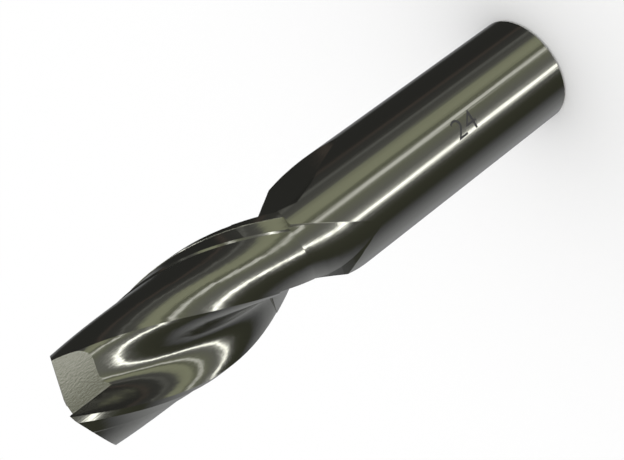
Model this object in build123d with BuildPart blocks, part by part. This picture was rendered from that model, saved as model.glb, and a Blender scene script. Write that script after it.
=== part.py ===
from build123d import *

import os
from math import cos, radians, sin, tan, tau

# Slot drill, ground from one bar of high speed steel: 24 mm cutter on a 25 mm plain shank.
# The axis is Z. The back face of the shank is at z = 0 and the cutting end points up.
# Angles are degrees about Z. "Ahead" is the way the cutting edges face.

# Overall sizes
overall_length = 121.0
shank_diameter = 25.0
cutter_diameter = 24.0
cutting_length = 52.0
shank_chamfer = 0.5

# Centre hole in the back face, left from grinding between centres
centre_mouth_diameter = 5.3
centre_pilot_diameter = 2.5
centre_angle = 60.0
centre_depth = 5.5

# Teeth: two right-hand helical flutes
flutes = 2
helix_angle = 30.0
corner_angle = -95.4
land_width_angle = 6.5
land_drop = 0.12
heel_angle = 20.0
heel_radius = 11.35

# Body clearance ground behind each land
clearance_foot_angle = 22.0
clearance_foot_radius = 11.05
clearance_mid_angle = 60.0
clearance_mid_radius = 10.6
ridge_angle = 97.5
ridge_radius = 9.25

# Gullet, with hooked rake face, between a ridge and the next edge
core_radius = 5.6
core_angle = 29.0
rake_depth_radius = 7.9
gullet_mid_angle = 54.0
gullet_mid_radius = 6.2

# Run-outs, where the wheels leave the shank. Heights are from the step and angles from the cutting edge there.
runout_rise = 8.0
overlap = 0.4
gullet_runout_length = 21.5
gullet_vertex_turn = 34.0
root_lead = 33.0
reach = 5.0
gullet_stations = (
    (-4.0, -4.5),
    (-9.0, 3.0),
    (-14.0, 16.2),
    (-18.0, 26.0),
    (-21.5, 33.0),
)
clearance_runout_length = 16.3
clearance_vertex_turn = -66.2
clearance_stations = 6
clearance_bulge = 2.7
wall_turn = 3.0
end_turn = 1.82

# Cutting end
gash_offset = 0.9
gash_web = 0.6
gash_angle = 31.0
gash_reach = 12.0
primary_width = 1.3
primary_relief = 11.0
secondary_relief = 18.0
dish_angle = 1.9

os.makedirs("parts", exist_ok=True)

tip = overall_length
shank_radius = shank_diameter / 2
cutter_radius = cutter_diameter / 2
step_height = overall_length - cutting_length
runout_start = step_height + runout_rise
gullet_vertex = step_height - gullet_runout_length
clearance_vertex = step_height - clearance_runout_length
outside = shank_radius + 4.0
tooth_pitch = 360.0 / flutes
lead = tau * cutter_radius / tan(radians(helix_angle))
turn_per_mm = 360.0 / lead


def at(radius, angle):
    """Point of a transverse section in polar form."""
    return (radius * cos(radians(angle)), radius * sin(radians(angle)))


def edge_angle(z, tooth):
    """Angle of a tooth's cutting edge at the height z."""
    return corner_angle + tooth * tooth_pitch - (tip - z) * turn_per_mm


def twisted(sketch, bottom, top):
    """The section, drawn at the bottom height, carried up the helix to the top height."""
    height = top - bottom
    return Solid.extrude_linear_with_rotation(
        sketch.face(), (0, 0, bottom), (0, 0, height), height * turn_per_mm
    )


# Blank: shank, step to the cutter diameter, chamfered back end and centre hole
with BuildPart() as slot_drill:
    with BuildSketch(Plane.XZ):
        with BuildLine():
            Polyline(
                (0, 0),
                (shank_radius - shank_chamfer, 0),
                (shank_radius, shank_chamfer),
                (shank_radius, step_height),
                (cutter_radius, step_height),
                (cutter_radius, tip),
                (0, tip),
                close=True,
            )
        make_face()
    revolve(axis=Axis.Z)
    cone_depth = (centre_mouth_diameter - centre_pilot_diameter) / 2 / tan(radians(centre_angle / 2))
    with BuildSketch(Plane.XZ):
        with BuildLine():
            Polyline(
                (0, 0),
                (centre_mouth_diameter / 2, 0),
                (centre_pilot_diameter / 2, cone_depth),
                (centre_pilot_diameter / 2, centre_depth),
                (0, centre_depth + centre_pilot_diameter / 2 * 0.58),
                close=True,
            )
        make_face()
    revolve(axis=Axis.Z, mode=Mode.SUBTRACT)


    # Flutes above the run-outs: everything outside the section of the two teeth
    for tooth in range(flutes):
        start = edge_angle(runout_start, tooth)
        with BuildSketch(Plane.XY.offset(runout_start), mode=Mode.PRIVATE) as void:
            with BuildLine():
                Spline(
                    at(cutter_radius, start),
                    at(rake_depth_radius, start + 10.0),
                    at(core_radius, start + core_angle),
                    at(gullet_mid_radius, start + gullet_mid_angle),
                    at(ridge_radius, start + 180.0 - ridge_angle),
                )
                Spline(
                    at(ridge_radius, start + 180.0 - ridge_angle),
                    at(clearance_mid_radius, start + 180.0 - clearance_mid_angle),
                    at(clearance_foot_radius, start + 180.0 - clearance_foot_angle),
                )
                Polyline(
                    at(clearance_foot_radius, start + 180.0 - clearance_foot_angle),
                    at(heel_radius, start + 180.0 - heel_angle),
                    at(cutter_radius - land_drop, start + 180.0 - land_width_angle),
                    at(outside, start + 180.0 - land_width_angle),
                )
                CenterArc((0, 0), outside, start, 180.0 - land_width_angle)
                Line(at(outside, start), at(cutter_radius, start))
            make_face()
        add(twisted(void.sketch, runout_start, tip + 1.0), mode=Mode.SUBTRACT)

        # Body clearance and land between the step and the start of the gullet run-out
        start = edge_angle(step_height, tooth)
        with BuildSketch(Plane.XY.offset(step_height), mode=Mode.PRIVATE) as behind:
            with BuildLine():
                Spline(
                    at(ridge_radius, start + 180.0 - ridge_angle),
                    at(clearance_mid_radius, start + 180.0 - clearance_mid_angle),
                    at(clearance_foot_radius, start + 180.0 - clearance_foot_angle),
                )
                Polyline(
                    at(clearance_foot_radius, start + 180.0 - clearance_foot_angle),
                    at(heel_radius, start + 180.0 - heel_angle),
                    at(cutter_radius - land_drop, start + 180.0 - land_width_angle),
                    at(outside, start + 180.0 - land_width_angle),
                )
                CenterArc(
                    (0, 0), outside, start + 180.0 - ridge_angle, ridge_angle - land_width_angle
                )
                Line(
                    at(outside, start + 180.0 - ridge_angle),
                    at(ridge_radius, start + 180.0 - ridge_angle),
                )
            make_face()
        add(twisted(behind.sketch, step_height, runout_start + overlap), mode=Mode.SUBTRACT)

    # Gullet run-outs: a two-sided cut whose root rises to the shank's surface along the wheel's arc
    arc_radius = (runout_start - gullet_vertex) ** 2 / (2 * (shank_radius - core_radius))
    for tooth in range(flutes):
        with BuildPart(mode=Mode.PRIVATE) as gullet_exit:
            vertex_angle = edge_angle(step_height, 1) + gullet_vertex_turn
            stations = [(height, edge_angle(height, 1), edge_angle(height, 1) + root_lead)
                        for height in (runout_start + overlap / 2, step_height + runout_rise / 2, step_height)]
            stations += [(step_height + below, edge_angle(step_height, 1) + near, vertex_angle)
                         for below, near in gullet_stations]
            for height, near_angle, root_angle in stations:
                rise = max(runout_start - height, 0) ** 2 / (2 * arc_radius)
                root = Vector(*at(min(core_radius + rise, shank_radius - 0.05), root_angle))
                far_angle = vertex_angle + 2.0 + (height - gullet_vertex) * turn_per_mm
                near_point = root + (Vector(*at(shank_radius, near_angle)) - root) * reach
                far_point = root + (Vector(*at(shank_radius, far_angle)) - root) * reach
                with BuildSketch(Plane.XY.offset(height)):
                    with BuildLine():
                        Polyline(
                            (near_point.X, near_point.Y),
                            (root.X, root.Y),
                            (far_point.X, far_point.Y),
                            close=True,
                        )
                    make_face()
            loft(ruled=True)
        add(gullet_exit.part.rotate(Axis.Z, tooth * tooth_pitch), mode=Mode.SUBTRACT)

    # Body clearance run-outs: a low wall along the helix and a floor that leaves the shank on a slant
    for tooth in range(flutes):
        with BuildPart(mode=Mode.PRIVATE) as clearance_exit:
            for step in range(clearance_stations + 1):
                share = step / clearance_stations
                height = step_height + 0.3 - share * (clearance_runout_length - 0.2)
                rise = (height - clearance_vertex) / (step_height - clearance_vertex)
                corner = edge_angle(step_height, 1) + clearance_vertex_turn
                wall_angle = corner + (height - clearance_vertex) * wall_turn
                end_angle = corner - 2.0 - (height - clearance_vertex) * end_turn
                depth = (shank_radius - clearance_foot_radius) * max(rise, 0.0) ** 2 + 0.01
                bulge = clearance_bulge * max(rise, 0.0) ** 2
                foot = Vector(*at(shank_radius - depth, wall_angle))
                end = Vector(*at(shank_radius - (shank_radius - ridge_radius) * rise**3, end_angle))
                across = Vector(-(end - foot).Y, (end - foot).X).normalized()
                middle = (foot + end) * 0.5 + across * bulge
                beyond = end + (end - middle) * 2.5
                with BuildSketch(Plane.XY.offset(height)):
                    with BuildLine():
                        ThreePointArc((foot.X, foot.Y), (middle.X, middle.Y), (end.X, end.Y))
                        Polyline(
                            (end.X, end.Y),
                            (beyond.X, beyond.Y),
                            at(outside * 1.6, (wall_angle + end_angle) / 2),
                            at(outside * 1.6, wall_angle),
                            (foot.X, foot.Y),
                        )
                    make_face()
            loft(ruled=True)
        add(clearance_exit.part.rotate(Axis.Z, tooth * tooth_pitch), mode=Mode.SUBTRACT)

    # End relief: a narrow primary face behind each end cutting edge, then a steeper one, dished to the centre
    primary_end = -gash_offset - primary_width
    primary_drop = primary_width * tan(radians(primary_relief))
    with BuildSketch(Plane.XZ.offset(-outside), mode=Mode.PRIVATE) as relief:
        with BuildLine():
            Polyline(
                (0, tip + 3.0),
                (0, tip),
                (-gash_offset, tip),
                (primary_end, tip - primary_drop),
                (-outside, tip - primary_drop - (outside + primary_end) * tan(radians(secondary_relief))),
                (-outside, tip + 3.0),
                close=True,
            )
        make_face()
    falling = extrude(relief.sketch, amount=2 * outside, mode=Mode.PRIVATE)
    falling = falling.rotate(Axis((0, -cutter_radius, tip), (1, 0, 0)), -dish_angle)
    for tooth in range(flutes):
        add(falling.rotate(Axis.Z, tooth * tooth_pitch), mode=Mode.SUBTRACT)

    # End gashes: a wall in line with each end cutting edge and a floor sloping down into the flute
    gash_run = gash_reach * tan(radians(gash_angle))
    with BuildSketch(Plane.YZ.offset(-gash_offset), mode=Mode.PRIVATE) as gash:
        with BuildLine():
            Polyline(
                (-gash_web, tip + 1.0),
                (-gash_web, tip),
                (-gash_web - gash_run, tip - gash_reach),
                (-outside, tip - gash_reach),
                (-outside, tip + 1.0),
                close=True,
            )
        make_face()
    notch = extrude(gash.sketch, amount=outside + gash_offset, mode=Mode.PRIVATE)
    for tooth in range(flutes):
        add(notch.rotate(Axis.Z, tooth * tooth_pitch), mode=Mode.SUBTRACT)

slot_drill.part.label = "slot_drill"
export_step(slot_drill.part, "parts/slot_drill.step")
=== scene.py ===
import bpy
from math import cos, pi, radians, sin
from mathutils import Matrix, Vector


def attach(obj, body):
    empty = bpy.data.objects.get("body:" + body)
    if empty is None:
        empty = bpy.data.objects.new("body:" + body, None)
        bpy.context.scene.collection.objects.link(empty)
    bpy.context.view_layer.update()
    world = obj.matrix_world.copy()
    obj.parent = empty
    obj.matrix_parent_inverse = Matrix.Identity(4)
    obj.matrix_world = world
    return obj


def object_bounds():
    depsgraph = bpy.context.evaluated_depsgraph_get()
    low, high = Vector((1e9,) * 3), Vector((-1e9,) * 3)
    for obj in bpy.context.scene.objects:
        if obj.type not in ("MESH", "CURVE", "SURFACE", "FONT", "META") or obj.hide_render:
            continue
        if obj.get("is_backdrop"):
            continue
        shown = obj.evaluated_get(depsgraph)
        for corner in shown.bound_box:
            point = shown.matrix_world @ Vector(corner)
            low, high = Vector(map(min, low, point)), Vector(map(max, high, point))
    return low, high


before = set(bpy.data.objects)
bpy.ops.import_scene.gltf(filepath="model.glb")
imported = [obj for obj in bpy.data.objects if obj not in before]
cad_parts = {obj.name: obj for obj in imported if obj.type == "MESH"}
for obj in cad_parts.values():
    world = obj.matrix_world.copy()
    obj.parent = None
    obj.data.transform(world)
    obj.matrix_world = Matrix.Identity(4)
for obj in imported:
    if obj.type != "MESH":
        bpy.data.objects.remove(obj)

bl_info = {
    "name": "Slot drill",
    "version": (1, 0, 0),
    "blender": (4, 5, 0),
    "location": "View3D > Sidebar > Slot drill",
    "description": "Steel finish, size mark, camera and stage for the slot drill",
    "category": "Object",
}

NODE = "slot_drill"
START_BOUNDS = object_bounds()

# Grinding lines: noise drawn out along the tool's axis
GRAIN_STRETCH = (900.0, 900.0, 14.0)
GRAIN_SCALE = 3.0
GRAIN_DETAIL = 6.0
SMOOTHEST_SHARE = 0.75
ROUGHEST_SHARE = 1.35
GRAIN_BUMP = 0.05
GRAIN_DEPTH = 0.0002

# Etched number
MARK_THINNING = -0.00006
MARK_LIFT = 0.00001
MARK_COLOUR = (0.05, 0.05, 0.05, 1.0)
MARK_ROUGHNESS = 0.6

# Surroundings that only the steel reflects
SURROUND_RADIUS = 40.0
SURROUND_HEIGHT = 500.0
SURROUND_SIDES = 96
GREY = (1.0, 1.0, 0.93)
GREEN = (0.97, 1.0, 0.70)
BROWN = (1.0, 0.80, 0.68)
COOL = (0.96, 0.97, 1.0)
# Each band is an azimuth in degrees around the tool, the brightness there and its tint
BANDS = (
    (-180, 0.09, COOL), (-170, 0.04, GREEN), (-145, 0.05, GREEN), (-133, 0.12, GREY), (-128, 0.5, GREY),
    (-126.5, 2.6, GREY), (-123.5, 2.6, GREY), (-121, 0.35, GREY), (-110, 0.15, GREY), (-88, 0.17, GREEN),
    (-84.5, 0.9, GREY), (-82, 0.9, GREY), (-80, 0.14, GREEN), (-73, 0.12, GREEN), (-70, 0.30, GREEN),
    (-54, 0.28, GREEN), (-48, 0.10, GREY), (-36, 0.07, GREY), (-34, 0.20, GREY), (-31, 0.05, GREY),
    (-16, 0.04, GREY), (-12, 0.08, BROWN), (-8, 0.03, GREY), (50, 0.03, GREY), (70, 0.25, COOL),
    (130, 0.32, COOL), (160, 0.2, COOL), (180, 0.09, COOL),
)

# Camera, solved from the photograph: place in metres, angles in degrees, lens and sensor in mm
CAMERA_PLACE = (0.0, -0.1722, 0.1165)
CAMERA_PAN = -0.12
CAMERA_TILT = 17.45
CAMERA_ROLL = -126.93
CAMERA_LENS = 51.06
CAMERA_SENSOR = 36.0


def new_material(name):
    """A node material, with its shader's inputs."""
    material = bpy.data.materials.new(name)
    material.use_nodes = True
    return material, material.node_tree.nodes["Principled BSDF"].inputs


class SlotDrillSettings(bpy.types.PropertyGroup):
    """Sizes and looks of the slot drill and its stage"""

    steel_colour: bpy.props.FloatVectorProperty(
        name="Steel colour", description="Colour the polished steel reflects",
        default=(0.62, 0.62, 0.58), min=0.0, max=1.0, size=3, subtype="COLOR")
    steel_roughness: bpy.props.FloatProperty(
        name="Steel roughness", description="Roughness of the ground steel", default=0.13, min=0.0, max=1.0)
    mark_text: bpy.props.StringProperty(
        name="Size number", description="Cutting diameter etched on the shank", default="24")
    mark_height: bpy.props.FloatProperty(
        name="Number height", description="Height of the etched number", default=0.0062, unit="LENGTH")
    mark_angle: bpy.props.FloatProperty(
        name="Number azimuth", description="Where the number's foot is around the shank",
        default=radians(-108.0), subtype="ANGLE")
    mark_start: bpy.props.FloatProperty(
        name="Number start", description="Height where the number starts", default=0.030, unit="LENGTH")
    shank_radius: bpy.props.FloatProperty(
        name="Shank radius", description="Radius of the shank", default=0.0125, unit="LENGTH")
    floor_size: bpy.props.FloatProperty(
        name="Floor size", description="Side of the white floor", default=400.0, unit="LENGTH")
    light_strength: bpy.props.FloatProperty(
        name="Light", description="Strength of the white surroundings", default=1.0, min=0.0)


class SLOTDRILL_OT_steel(bpy.types.Operator):
    """Gives the tool its ground steel finish"""

    bl_idname = "slotdrill.steel"
    bl_label = "Steel finish"

    def execute(self, context):
        settings = context.scene.slot_drill_settings
        material, shader = new_material("tool_steel")
        shader["Base Color"].default_value = (*settings.steel_colour, 1.0)
        shader["Metallic"].default_value = 1.0
        nodes, links = material.node_tree.nodes, material.node_tree.links
        place = nodes.new("ShaderNodeTexCoord")
        stretch = nodes.new("ShaderNodeMapping")
        stretch.inputs["Scale"].default_value = GRAIN_STRETCH
        grain = nodes.new("ShaderNodeTexNoise")
        grain.inputs["Scale"].default_value = GRAIN_SCALE
        grain.inputs["Detail"].default_value = GRAIN_DETAIL
        rough = nodes.new("ShaderNodeMapRange")
        rough.inputs["To Min"].default_value = settings.steel_roughness * SMOOTHEST_SHARE
        rough.inputs["To Max"].default_value = settings.steel_roughness * ROUGHEST_SHARE
        bump = nodes.new("ShaderNodeBump")
        bump.inputs["Strength"].default_value = GRAIN_BUMP
        bump.inputs["Distance"].default_value = GRAIN_DEPTH
        links.new(place.outputs["Object"], stretch.inputs["Vector"])
        links.new(stretch.outputs["Vector"], grain.inputs["Vector"])
        links.new(grain.outputs["Fac"], rough.inputs["Value"])
        links.new(grain.outputs["Fac"], bump.inputs["Height"])
        links.new(rough.outputs["Result"], shader["Roughness"])
        links.new(bump.outputs["Normal"], shader["Normal"])
        tool = bpy.data.objects[NODE]
        tool.data.materials.clear()
        tool.data.materials.append(material)
        return {"FINISHED"}


class SLOTDRILL_OT_mark(bpy.types.Operator):
    """Etches the size number on the shank, reading along the axis"""

    bl_idname = "slotdrill.mark"
    bl_label = "Size mark"

    def execute(self, context):
        settings = context.scene.slot_drill_settings
        bpy.ops.object.select_all(action="DESELECT")
        bpy.ops.object.text_add()
        text = context.active_object
        text.name = "size_mark"
        text.data.body = settings.mark_text
        text.data.size = settings.mark_height
        text.data.offset = MARK_THINNING
        text.data.resolution_u = 4
        bpy.ops.object.convert(target="MESH")
        mark = context.active_object
        bpy.ops.object.mode_set(mode="EDIT")
        bpy.ops.mesh.select_all(action="SELECT")
        bpy.ops.mesh.quads_convert_to_tris()
        bpy.ops.mesh.subdivide(number_cuts=3)
        bpy.ops.object.mode_set(mode="OBJECT")
        radius = settings.shank_radius + MARK_LIFT
        low = min(vertex.co.y for vertex in mark.data.vertices)
        for vertex in mark.data.vertices:
            turn = settings.mark_angle + (vertex.co.y - low) / radius
            vertex.co = (radius * cos(turn), radius * sin(turn), settings.mark_start - vertex.co.x)
        material, shader = new_material("etched_mark")
        shader["Base Color"].default_value = MARK_COLOUR
        shader["Roughness"].default_value = MARK_ROUGHNESS
        mark.data.materials.append(material)
        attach(mark, "root")
        return {"FINISHED"}


def add_floor(settings):
    """A white floor that keeps the tool's shadow and that the steel doesn't reflect."""
    bpy.ops.object.select_all(action="DESELECT")
    bpy.ops.mesh.primitive_plane_add(size=settings.floor_size)
    floor = bpy.context.active_object
    floor.name = "floor"
    material, shader = new_material("floor_white")
    shader["Base Color"].default_value = (1.0, 1.0, 1.0, 1.0)
    shader["Roughness"].default_value = 1.0
    shader["Specular IOR Level"].default_value = 0.0
    floor.data.materials.append(material)
    floor.visible_glossy = False
    floor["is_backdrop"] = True


def add_world(settings):
    """Even white light from all round."""
    world = bpy.data.worlds.new("white")
    world.use_nodes = True
    background = world.node_tree.nodes["Background"].inputs
    background["Color"].default_value = (1.0, 1.0, 1.0, 1.0)
    background["Strength"].default_value = settings.light_strength
    bpy.context.scene.world = world


def band_material():
    """A glow whose brightness follows the azimuth around the tool."""
    material = bpy.data.materials.new("surround_bands")
    material.use_nodes = True
    nodes, links = material.node_tree.nodes, material.node_tree.links
    nodes.clear()
    place = nodes.new("ShaderNodeTexCoord")
    split = nodes.new("ShaderNodeSeparateXYZ")
    angle = nodes.new("ShaderNodeMath")
    angle.operation = "ARCTAN2"
    spread = nodes.new("ShaderNodeMapRange")
    spread.inputs["From Min"].default_value = -pi
    spread.inputs["From Max"].default_value = pi
    ramp = nodes.new("ShaderNodeValToRGB")
    glow = nodes.new("ShaderNodeEmission")
    out = nodes.new("ShaderNodeOutputMaterial")
    links.new(place.outputs["Object"], split.inputs[0])
    links.new(split.outputs["Y"], angle.inputs[0])
    links.new(split.outputs["X"], angle.inputs[1])
    links.new(angle.outputs[0], spread.inputs["Value"])
    links.new(spread.outputs["Result"], ramp.inputs[0])
    links.new(ramp.outputs[0], glow.inputs[0])
    links.new(glow.outputs[0], out.inputs[0])
    stops = ramp.color_ramp.elements
    while len(stops) > 1:
        stops.remove(stops[0])
    for index, (azimuth, level, tint) in enumerate(BANDS):
        where = (azimuth + 180) / 360
        stop = stops[0] if index == 0 else stops.new(where)
        stop.position = where
        stop.color = (*[level * part for part in tint], 1.0)
    return material


def add_surround():
    """A tall open cylinder of bright and dark bands, seen in the steel only."""
    bpy.ops.object.select_all(action="DESELECT")
    bpy.ops.mesh.primitive_cylinder_add(
        vertices=SURROUND_SIDES, radius=SURROUND_RADIUS, depth=SURROUND_HEIGHT, end_fill_type="NOTHING")
    surround = bpy.context.active_object
    surround.name = "surround"
    surround.visible_camera = False
    surround.visible_shadow = False
    surround.visible_diffuse = False
    surround.data.materials.append(band_material())
    surround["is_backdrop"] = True


def add_camera():
    """The camera at the photograph's place, rolled as the photograph is."""
    pan, tilt, roll = radians(CAMERA_PAN), radians(CAMERA_TILT), radians(CAMERA_ROLL)
    forward = Vector((sin(pan) * cos(tilt), cos(pan) * cos(tilt), -sin(tilt)))
    right = forward.cross(Vector((0, 0, 1))).normalized()
    up = right.cross(forward)
    side = cos(roll) * right + sin(roll) * up
    top = -sin(roll) * right + cos(roll) * up
    data = bpy.data.cameras.new("camera")
    data.sensor_width = CAMERA_SENSOR
    data.lens = CAMERA_LENS
    camera = bpy.data.objects.new("camera", data)
    bpy.context.scene.collection.objects.link(camera)
    turn = Matrix((side, top, -forward)).transposed().to_4x4()
    camera.matrix_world = Matrix.Translation(CAMERA_PLACE) @ turn
    bpy.context.scene.camera = camera


class SLOTDRILL_OT_stage(bpy.types.Operator):
    """Builds the floor, the light, the reflected surroundings and the camera"""

    bl_idname = "slotdrill.stage"
    bl_label = "Stage"

    def execute(self, context):
        settings = context.scene.slot_drill_settings
        context.scene.view_settings.view_transform = "Standard"
        add_floor(settings)
        add_world(settings)
        add_surround()
        add_camera()
        return {"FINISHED"}


class SLOTDRILL_PT_panel(bpy.types.Panel):
    """Buttons and sizes of the slot drill"""

    bl_label = "Slot drill"
    bl_idname = "SLOTDRILL_PT_panel"
    bl_space_type = "VIEW_3D"
    bl_region_type = "UI"
    bl_category = "Slot drill"

    def draw(self, context):
        settings = context.scene.slot_drill_settings
        for name in SlotDrillSettings.__annotations__:
            self.layout.prop(settings, name)
        for operator in ("slotdrill.steel", "slotdrill.mark", "slotdrill.stage"):
            self.layout.operator(operator)


CLASSES = (SlotDrillSettings, SLOTDRILL_OT_steel, SLOTDRILL_OT_mark, SLOTDRILL_OT_stage, SLOTDRILL_PT_panel)


def register():
    for cls in CLASSES:
        bpy.utils.register_class(cls)
    bpy.types.Scene.slot_drill_settings = bpy.props.PointerProperty(type=SlotDrillSettings)


def unregister():
    del bpy.types.Scene.slot_drill_settings
    for cls in reversed(CLASSES):
        bpy.utils.unregister_class(cls)


def as_lists(bounds):
    """Bounds as plain lists."""
    if isinstance(bounds, dict):
        return {key: as_lists(value) for key, value in bounds.items()}
    if isinstance(bounds, (int, float, str)) or bounds is None:
        return bounds
    return [as_lists(value) for value in bounds]


def main():
    register()
    for step in (bpy.ops.slotdrill.steel, bpy.ops.slotdrill.mark, bpy.ops.slotdrill.stage):
        if step() != {"FINISHED"}:
            raise RuntimeError("a step did not finish")
    sizes = {"after_load": as_lists(START_BOUNDS), "at_end": as_lists(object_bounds())}


if __name__ == "__main__":
    main()
